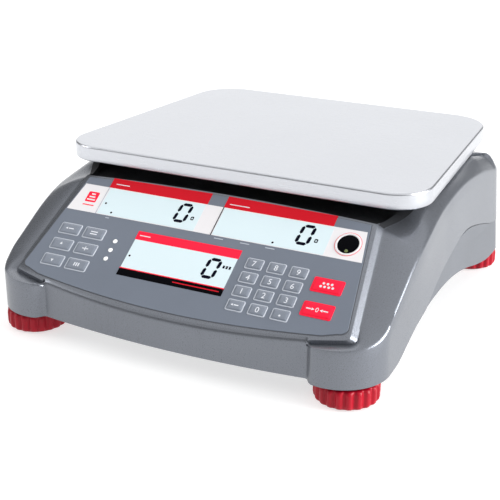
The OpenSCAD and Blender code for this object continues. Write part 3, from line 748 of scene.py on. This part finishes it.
# ---------------------------------------------------------------- console overlay
OVERLAY = 0.4
V_TOP_MID, V_TOP_END = -1.4, 1.6
OVERLAY_BOW_SPAN, OVERLAY_BOW, OVERLAY_FRONT_V = 131.0, 24.0, 101.6
CORNER_V, CORNER_RU, CORNER_RV, CORNER_IN = 84.5, 5.6, 5.0, 5
CORNER_ARC = 6


def overlay_half(v):
    return 116.6 + 0.148 * v


def overlay_front(u):
    return OVERLAY_FRONT_V - (1 - math.cos(u / OVERLAY_BOW_SPAN)) * OVERLAY_BOW


def overlay_outline():
    """The printed sheet: bowed at its upper and lower edges, with rounded lower corners."""
    steps = 24
    pts = []
    for k in range(steps + 1):
        u = overlay_half(0) * (-1 + 2 * k / steps)
        pts.append((u, V_TOP_MID + (V_TOP_END - V_TOP_MID) * (u / overlay_half(0)) ** 2))
    half = overlay_half(84)
    for k in range(CORNER_ARC + 1):
        a = math.radians(90 * k / CORNER_ARC)
        pts.append((half - CORNER_IN + CORNER_RU * math.cos(a), CORNER_V + CORNER_RV * math.sin(a)))
    for k in range(1, steps):
        u = (half - CORNER_IN) * (1 - 2 * k / steps)
        pts.append((u, overlay_front(u)))
    for k in range(CORNER_ARC + 1):
        a = math.radians(90 + 90 * k / CORNER_ARC)
        pts.append((-half + CORNER_IN + CORNER_RU * math.cos(a), CORNER_V + CORNER_RV * math.sin(a)))
    return pts


sheet = Batch()
outline = overlay_outline()
sheet.plate(outline, -0.1, OVERLAY, soft=0.12)
piece("overlay_film_sheet", sheet.verts, sheet.faces, film, "base", replaces=["keypad_overlay"])

# Groove round the sheet, darker than the paint.
groove = Batch()
wide = [(u * 1.0060, v + (0.7 if v > 40 else -0.4)) for u, v in outline]
groove.plate(wide, -0.08, 0.06)
piece("overlay_seat", groove.verts, groove.faces, groove_shade, "base")

# ---------------------------------------------------------------- printed graphics
PRINT = OVERLAY + 0.05
LAYER = 0.05
SUNK = OVERLAY - 0.1
BAND_TOP, BAND_LOW = 8.2, 33.3
prints = Batch()
MATS = [white_print, red_print, bright_red, black_gloss, ink, pale_line, legend_ink]
WHITE, RED, BRIGHT, BLACK, INK, PALE, LEGEND = range(len(MATS))
left_top, left_low = -overlay_half(BAND_TOP) + 1.6, -overlay_half(BAND_LOW) + 0.8
BOX_LEFT, BOX_RIGHT = -51.5, 34.0

# The white band, the red bars over the upper displays, and the lower display's red and black strips.
prints.plate([(left_top, BAND_TOP), (-left_top, BAND_TOP), (-left_low, BAND_LOW), (left_low, BAND_LOW)],
             SUNK, PRINT, WHITE)
prints.plate([(-95, -0.9), (-9.2, -2.0), (-9.2, BAND_TOP), (-95, BAND_TOP)], SUNK, PRINT + LAYER, RED)
prints.plate([(4.4, -2.0), (91, -1.0), (91, BAND_TOP), (4.4, BAND_TOP)], SUNK, PRINT + LAYER, RED)
prints.plate(rect(BOX_LEFT, 41.3, BOX_RIGHT, 48.9), SUNK, PRINT + LAYER, BRIGHT)
prints.plate(rect(BOX_LEFT, 74.0, BOX_RIGHT, 80.6), SUNK, PRINT + LAYER, BLACK)
prints.plate(rect(BOX_LEFT, 73.9, BOX_RIGHT, 74.7), SUNK, PRINT + 2 * LAYER, BRIGHT)

# Two upright dividers, the ticks under the band, and bars where captions would be.
prints.plate(rect(-94.9, BAND_TOP, -94.2, BAND_LOW), PRINT - 0.1, PRINT + 3 * LAYER, PALE)
prints.plate(rect(4.2, BAND_TOP, 4.9, BAND_LOW), PRINT - 0.1, PRINT + 3 * LAYER, INK)
for u in (12, 33, 52.8):
    prints.plate(rect(u - 3.6, 35.0, u + 3.6, 35.7), SUNK, PRINT, PALE)
prints.plate(rect(-84.4, 35.0, -81.4, 35.7), SUNK, PRINT, PALE)
for u, v, w in ((-90.5, 4.2, 12), (8, 4.8, 16), (-49, 45.0, 9)):
    prints.plate(rect(u, v - 0.35, u + w, v + 0.35), PRINT, PRINT + 2 * LAYER, LEGEND)
prints.plate(rect(-6.0, 77.0, 31.0, 77.8), PRINT, PRINT + 2 * LAYER, RED)
piece("overlay_print", prints.verts, prints.faces, MATS, "base", prints.index)

# Badge tile: a plain red tile with three balance bars, a mark of no maker.
badge = Batch()
badge.plate(rect(-113.2, 9.6, -96.4, 32.2), SUNK, PRINT + LAYER, 0)
badge.plate(round_rect(-104.6, 19.4, 9.6, 9.6, 1.2), PRINT, PRINT + 2 * LAYER, 1)
for v, w in ((16.8, 3.4), (19.4, 5.2), (22.0, 7.0)):
    badge.plate(rect(-104.6 - w / 2, v - 0.6, -104.6 + w / 2, v + 0.6), PRINT + LAYER, PRINT + 3 * LAYER, 0)
badge.plate(rect(-109.6, 26.6, -99.6, 27.5), PRINT, PRINT + 2 * LAYER, 1)
piece("badge_tile", badge.verts, badge.faces, [white_print, bright_red], "base", badge.index,
      replaces=["badge_plate"])

# ---------------------------------------------------------------- displays
# The six outer bars of a seven-segment digit, in shares of its width and half height.
SEGMENTS = (((-0.5, -1), (0.5, -1)), ((0.5, -1), (0.5, 0)), ((0.5, 0), (0.5, 1)),
            ((-0.5, 1), (0.5, 1)), ((-0.5, 0), (-0.5, 1)), ((-0.5, -1), (-0.5, 0)))

DIGIT_LEAN, SEGMENT_GAP = 0.10, 0.35
DIGIT_WIDTH, DIGIT_HEIGHT, DIGIT_BAR = 11.0, 17.6, 2.5
SCREEN = PRINT + 2 * LAYER
INK_LOW, INK_HIGH = SCREEN - 0.1, SCREEN + LAYER
MARK_R = 0.85


def digit_zero(batch, cu, cv):
    """A slanted seven-segment zero with small gaps between its bars."""
    for (xa, ya), (xb, yb) in SEGMENTS:
        a = Vector((xa * (DIGIT_WIDTH - DIGIT_BAR), ya * (DIGIT_HEIGHT - DIGIT_BAR) / 2))
        b = Vector((xb * (DIGIT_WIDTH - DIGIT_BAR), yb * (DIGIT_HEIGHT - DIGIT_BAR) / 2))
        d = (b - a).normalized()
        n = Vector((-d.y, d.x))
        half = DIGIT_BAR / 2
        near, far = SEGMENT_GAP, SEGMENT_GAP + half
        pts = [a + d * near, a + d * far + n * half, b - d * far + n * half,
               b - d * near, b - d * far - n * half, a + d * far - n * half]
        batch.plate([(cu + p.x - DIGIT_LEAN * p.y, cv + p.y) for p in pts], INK_LOW, INK_HIGH, 1)


screens = Batch()
screens.plate(rect(-93.4, 9.0, -10.0, 32.8), SUNK, SCREEN, 0)
screens.plate(rect(5.6, 9.0, 92.0, 32.8), SUNK, SCREEN, 0)
for cu in (-24.6, 74.0):
    digit_zero(screens, cu, 19.3)
piece("screen_upper", screens.verts, screens.faces, [lcd_face, ink], "base", screens.index,
      replaces=["window_upper"])
marks = Batch()
for u, v in ((-90.4, 22.9), (-81.9, 30.3), (52.8, 30.3)):
    marks.plate(disc(u, v, MARK_R, 16), INK_LOW, INK_HIGH, 0)
for u, v in ((-15.4, 22.6), (83.2, 22.6)):
    marks.plate(round_rect(u, v, 2.6, 3.2, 0.8), INK_LOW, INK_HIGH, 0)
    marks.plate(round_rect(u, v + 0.1, 1.0, 1.4, 0.4), SCREEN - 0.1, SCREEN + 1.5 * LAYER, 1)
piece("screen_marks", marks.verts, marks.faces, [ink, lcd_face], "base", marks.index)

low_screen = Batch()
low_screen.plate(rect(-51.0, 48.9, 33.5, 73.9), SUNK, SCREEN, 0)
digit_zero(low_screen, 17.6, 60.4)
low_screen.plate(disc(-48.6, 63.4, MARK_R, 16), INK_LOW, INK_HIGH, 1)
for k in range(3):
    low_screen.plate(rect(25.4 + 2.4 * k, 56.2, 27.0 + 2.4 * k, 58.6), INK_LOW, INK_HIGH, 1)
piece("screen_lower", low_screen.verts, low_screen.faces, [lcd_face, ink], "base", low_screen.index,
      replaces=["window_lower"])

# ---------------------------------------------------------------- level and lamps
LEVEL = (106.3, 20.6)


def lathe_on_console(cu, cv, profile, n=64):
    """Loops of a turned shape standing on the console, from (radius, height) pairs."""
    return [[con(u, v, h) for u, v in disc(cu, cv, r, n)] for r, h in profile]


# Each profile runs in (radius, height) pairs; the two rings close on their first pair.
OUTER_RING = [(9.75, 0.3), (9.75, 0.58), (9.6, 0.62), (9.45, 0.58), (9.45, 0.3), (9.75, 0.3)]
CUP_RIM = [(9.3, 0.3), (9.3, 0.75), (8.9, 1.0), (8.1, 1.0), (7.8, 0.8), (7.8, -0.5), (9.3, 0.3)]
GLASS = [(7.75, -0.4), (7.75, 0.45), (6.8, 0.75), (5.0, 0.95), (2.5, 1.05), (0.4, 1.07)]
# A small green dome off the lens's centre, a painted glint on the black glass.
GLINT = [(1.3, 0.6), (1.25, 1.0), (0.9, 1.14), (0.3, 1.18)]
GLINT_AT = (LEVEL[0] + 0.6, LEVEL[1] + 5.8)
LAMP_DOME = [(1.75, 0.3), (1.75, 0.5), (1.5, 0.8), (0.9, 1.02), (0.2, 1.08)]
LAMP_U, LAMP_ROWS = -66, (54, 62, 69.8)

ring = Batch()
ring.add(*stack(lathe_on_console(*LEVEL, OUTER_RING), False, False), 1)
ring.add(*stack(lathe_on_console(*LEVEL, CUP_RIM), False, False), 0)
piece("level_rim", ring.verts, ring.faces, [white_print, bright_red], "base", ring.index,
      replaces=["level_cup"])
lens = Batch()
lens.add(*stack(lathe_on_console(*LEVEL, GLASS)), 0)
lens.add(*stack(lathe_on_console(*GLINT_AT, GLINT, 32)), 1)
piece("level_lens", lens.verts, lens.faces, [black_gloss, lens_painted_glint], "base", lens.index,
      replaces=["level_glass"])

lamps = Batch()
for v in LAMP_ROWS:
    lamps.add(*stack(lathe_on_console(LAMP_U, v, LAMP_DOME, 28)), 0)
piece("lamp_domes", lamps.verts, lamps.faces, [lamp_white], "base", lamps.index,
      replaces=["status_lamps"])

# ---------------------------------------------------------------- keys
KEY_TOP = 1.3
KEY_BORDER, FRAME_R, DOME_R, DIGIT_SIZE, ZERO_SIZE, LEGEND_LIFT = 0.75, 1.4, 2.2, 6.2, 5.0, 0.02
# Each step is a distance in from the edge and a height: the frame from its foot, then the dome.
FRAME_STEPS = ((0.0, -2.7), (0.0, 0.55), (0.12, 0.72), (0.3, 0.78))
DOME_STEPS = ((0.25, 0.70), (0.55, 0.92), (1.0, 1.12), (1.7, 1.24), (2.6, KEY_TOP))
FN_COLS, FN_ROWS, FN_SIZE = (-107.6, -86.0), (51.0, 65.4, 79.8), (18.4, 10.2)
NUM_COLS, NUM_ROWS, NUM_SIZE = (47.2, 64.1, 81.0), (50.4, 62.0, 73.5, 85.1), (13.2, 9.2)
WIDE_COL, WIDE_ROWS, WIDE_SIZE = 104.5, (56.2, 75.9), (22.6, 11.8)


def digit_mesh(text, size):
    """Flat outlines of one digit from the built-in font, centred on zero."""
    curve = bpy.data.curves.new("digit", "FONT")
    curve.body = text
    curve.size = size
    curve.extrude = 0.02
    curve.resolution_u = 3
    obj = bpy.data.objects.new("digit", curve)
    bpy.context.scene.collection.objects.link(obj)
    mesh = bpy.data.meshes.new_from_object(obj)
    pts = [tuple(v.co) for v in mesh.vertices]
    faces = [tuple(p.vertices) for p in mesh.polygons]
    bpy.data.objects.remove(obj)
    bpy.data.curves.remove(curve)
    bpy.data.meshes.remove(mesh)
    mx = (min(p[0] for p in pts) + max(p[0] for p in pts)) / 2
    my = (min(p[1] for p in pts) + max(p[1] for p in pts)) / 2
    return [(x - mx, y - my, z) for x, y, z in pts], faces


def arrow(cu, cv, dx, dy, size):
    """A small triangle pointing along (dx, dy)."""
    back, side = size * 0.4, size * 0.7
    return [(cu + dx * size, cv + dy * size), (cu - dx * back - dy * side, cv - dy * back + dx * side),
            (cu - dx * back + dy * side, cv - dy * back - dx * side)]


def bar(cu, cv, w, h):
    """A rectangle of the given width and height round its centre."""
    return rect(cu - w / 2, cv - h / 2, cu + w / 2, cv + h / 2)


# Centres of the dots of a small pile, a sign for counted pieces.
PILE = ((-4.4, 1.4), (-1.5, 1.4), (1.5, 1.4), (4.4, 1.4), (-3.0, -1.2), (0, -1.2), (3.0, -1.2))
ICONS = {
    "key_fn_1": lambda u, v: [arrow(u - 2.4, v, -1, 0, 1.3), bar(u + 1.2, v, 4.4, 0.8)],
    "key_fn_2": lambda u, v: [bar(u, v - 1.0, 6.0, 0.8), bar(u, v + 1.0, 6.0, 0.8)],
    "key_fn_3": lambda u, v: [arrow(u, v - 0.3, 0, -1, 1.6)],
    "key_fn_4": lambda u, v: [bar(u, v, 5.2, 0.8), bar(u, v, 0.8, 3.4)],
    "key_fn_5": lambda u, v: [arrow(u, v + 0.3, 0, 1, 1.6)],
    "key_fn_6": lambda u, v: [bar(u - 1.8, v, 1.0, 3.0), bar(u, v, 1.0, 3.0), bar(u + 1.8, v, 1.0, 3.0)],
    "key_clear": lambda u, v: [arrow(u - 2.0, v, -1, 0, 1.2), bar(u + 1.0, v, 3.6, 0.8)],
    "key_point": lambda u, v: [disc(u, v + 0.8, 0.8, 16)],
    "key_sample": lambda u, v: [disc(u + du, v + dv, 0.95, 16) for du, dv in PILE],
    "key_tare": lambda u, v: [arrow(u - 3.4, v, 1, 0, 1.5), bar(u - 6.2, v, 3.4, 0.9),
                              arrow(u + 3.4, v, -1, 0, 1.5), bar(u + 6.2, v, 3.4, 0.9)],
}


def key(name, cu, cv, size, red=False):
    """A domed key with a raised frame; the frame and the legend are paler than its face."""
    w, h = size
    batch = Batch()

    def shape(d, r):
        return round_rect(cu, cv, w - 2 * d, h - 2 * d, max(0.4, r - d))

    loops = []
    for d, z in FRAME_STEPS:
        loops.append([con(u, v, z) for u, v in shape(d, FRAME_R)])
    batch.add(*stack(loops, True, False), 1)
    rim = [loops[-1], [con(u, v, 0.74) for u, v in shape(KEY_BORDER, FRAME_R)]]
    batch.add(*stack(rim, False, False), 1)
    dome = [rim[-1]]
    for d, z in DOME_STEPS:
        dome.append([con(u, v, z) for u, v in shape(KEY_BORDER + d, DOME_R)])
    batch.add(*stack(dome, False, True), 0)
    if name.split("_")[1].isdigit():
        pts, faces = digit_mesh(name.split("_")[1], DIGIT_SIZE)
        batch.add([con(cu + x, cv - y, KEY_TOP + LEGEND_LIFT + z) for x, y, z in pts], faces, 2)
    else:
        for shape_points in ICONS[name](cu, cv):
            batch.plate(shape_points, KEY_TOP - 0.2, KEY_TOP + 0.04, 2)
    if name == "key_tare":
        digit, faces = digit_mesh("0", ZERO_SIZE)
        batch.add([con(cu + x, cv - y, KEY_TOP + LEGEND_LIFT + z) for x, y, z in digit], faces, 2)
    mats = [bright_red, bright_red, legend_ink] if red else [key_face, pale_line, legend_ink]
    piece(f"cap_{name}", batch.verts, batch.faces, mats, name, batch.index,
          sharp=40, replaces=[name])


for i, (r, c) in enumerate((r, c) for r in range(3) for c in range(2)):
    key(f"key_fn_{i + 1}", FN_COLS[c], FN_ROWS[r], FN_SIZE)
for name, c, r in (("7", 0, 0), ("8", 1, 0), ("9", 2, 0), ("4", 0, 1), ("5", 1, 1), ("6", 2, 1), ("1", 0, 2),
                   ("2", 1, 2), ("3", 2, 2), ("clear", 0, 3), ("0", 1, 3), ("point", 2, 3)):
    key(f"key_{name}", NUM_COLS[c], NUM_ROWS[r], NUM_SIZE)
key("key_sample", WIDE_COL, WIDE_ROWS[0], WIDE_SIZE, red=True)
key("key_tare", WIDE_COL, WIDE_ROWS[1], WIDE_SIZE, red=True)

# ---------------------------------------------------------------- finishes of the CAD pieces
FINISH = {
    "base_casting": dark_paint, "housing_screws": zinc, "foot_inserts": brass, "lcd_upper": lcd_face,
    "lcd_lower": lcd_face, "display_board": board_green, "board_screws": zinc, "main_board": board_green,
    "power_supply": module_metal, "battery": battery_case, "power_inlet": black_plastic, "serial_port": zinc,
    "load_cell": alloy, "load_cell_bolts": dark_steel, "overload_stop": zinc, "platform_frame": cast_alloy,
    "platform_bolts": dark_steel, "platform_cushions": rubber, "battery_cover": dark_paint,
}
for corner in ("front_left", "front_right", "rear_left", "rear_right"):
    FINISH[f"stud_{corner}"] = zinc
    FINISH[f"pad_{corner}"] = rubber

for name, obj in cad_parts.items():
    mat = FINISH.get(name)
    if mat is None:
        continue
    if not obj.material_slots:
        obj.data.materials.append(mat)
    for slot in obj.material_slots:
        slot.link = "OBJECT"
        slot.material = mat

# The load cell bends between its fixed end and the end that carries the platform; here its mesh is only
# copied, with its finish, in place of the imported part.
cell_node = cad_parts["load_cell"]
beam = bpy.data.objects.new("cell_beam", cell_node.data.copy())
bpy.context.scene.collection.objects.link(beam)
beam.data.materials.clear()
beam.data.materials.append(alloy)
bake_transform(beam)
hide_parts("load_cell")

# ---------------------------------------------------------------- studio
floor_mesh = bpy.data.meshes.new("floor")
FLOOR_HALF = 30.0
floor_mesh.from_pydata([(x * FLOOR_HALF, y * FLOOR_HALF, 0) for x, y in ((-1, -1), (1, -1), (1, 1), (-1, 1))],
                       [], [(0, 1, 2, 3)])
floor = bpy.data.objects.new("floor", floor_mesh)
bpy.context.scene.collection.objects.link(floor)
# The floor glows, so that it reads as white and its shadow stays faint.
floor_mesh.materials.append(finish_material("floor_white", (0.45, 0.45, 0.45), 0.75, vary=0.004, patch=2.0,
                                            grain=60.0, bump=0.0, glow=1.45))


def area_light(name, at, target, size, watts):
    """A soft rectangular light aimed at a point; at, target and size are in metres."""
    data = bpy.data.lights.new(name, "AREA")
    data.shape = "RECTANGLE"
    data.size, data.size_y = size
    data.energy = watts
    lamp = bpy.data.objects.new(name, data)
    bpy.context.scene.collection.objects.link(lamp)
    lamp.location = at
    aim = Vector(target) - Vector(at)
    lamp.rotation_euler = aim.to_track_quat("-Z", "Y").to_euler()
    return lamp


def sun_light(name, towards, strength, softness):
    """A distant light that shines from the direction given."""
    data = bpy.data.lights.new(name, "SUN")
    data.energy = strength
    data.angle = math.radians(softness)
    lamp = bpy.data.objects.new(name, data)
    bpy.context.scene.collection.objects.link(lamp)
    lamp.rotation_euler = (-Vector(towards)).to_track_quat("-Z", "Y").to_euler()


# Towards the light, its strength, and the width of its disc in degrees.
sun_light("right_light", (0.90, 0.15, 0.30), 5.0, 35)
sun_light("top_light", (0.10, 0.05, 1.0), 1.45, 100)
sun_light("left_light", (-0.80, -0.35, 0.45), 0.8, 25)
back = area_light("back_light", (-0.9, 1.8, 0.95), (0, 0, 0.12), (2.6, 2.4), 18)
back.visible_camera = False

WORLD_STRENGTH = 0.27
world = bpy.data.worlds.new("studio")
world.use_nodes = True
world.node_tree.nodes["Background"].inputs["Color"].default_value = (1, 1, 1, 1)
world.node_tree.nodes["Background"].inputs["Strength"].default_value = WORLD_STRENGTH
bpy.context.scene.world = world
bpy.context.scene.view_settings.view_transform = "Standard"
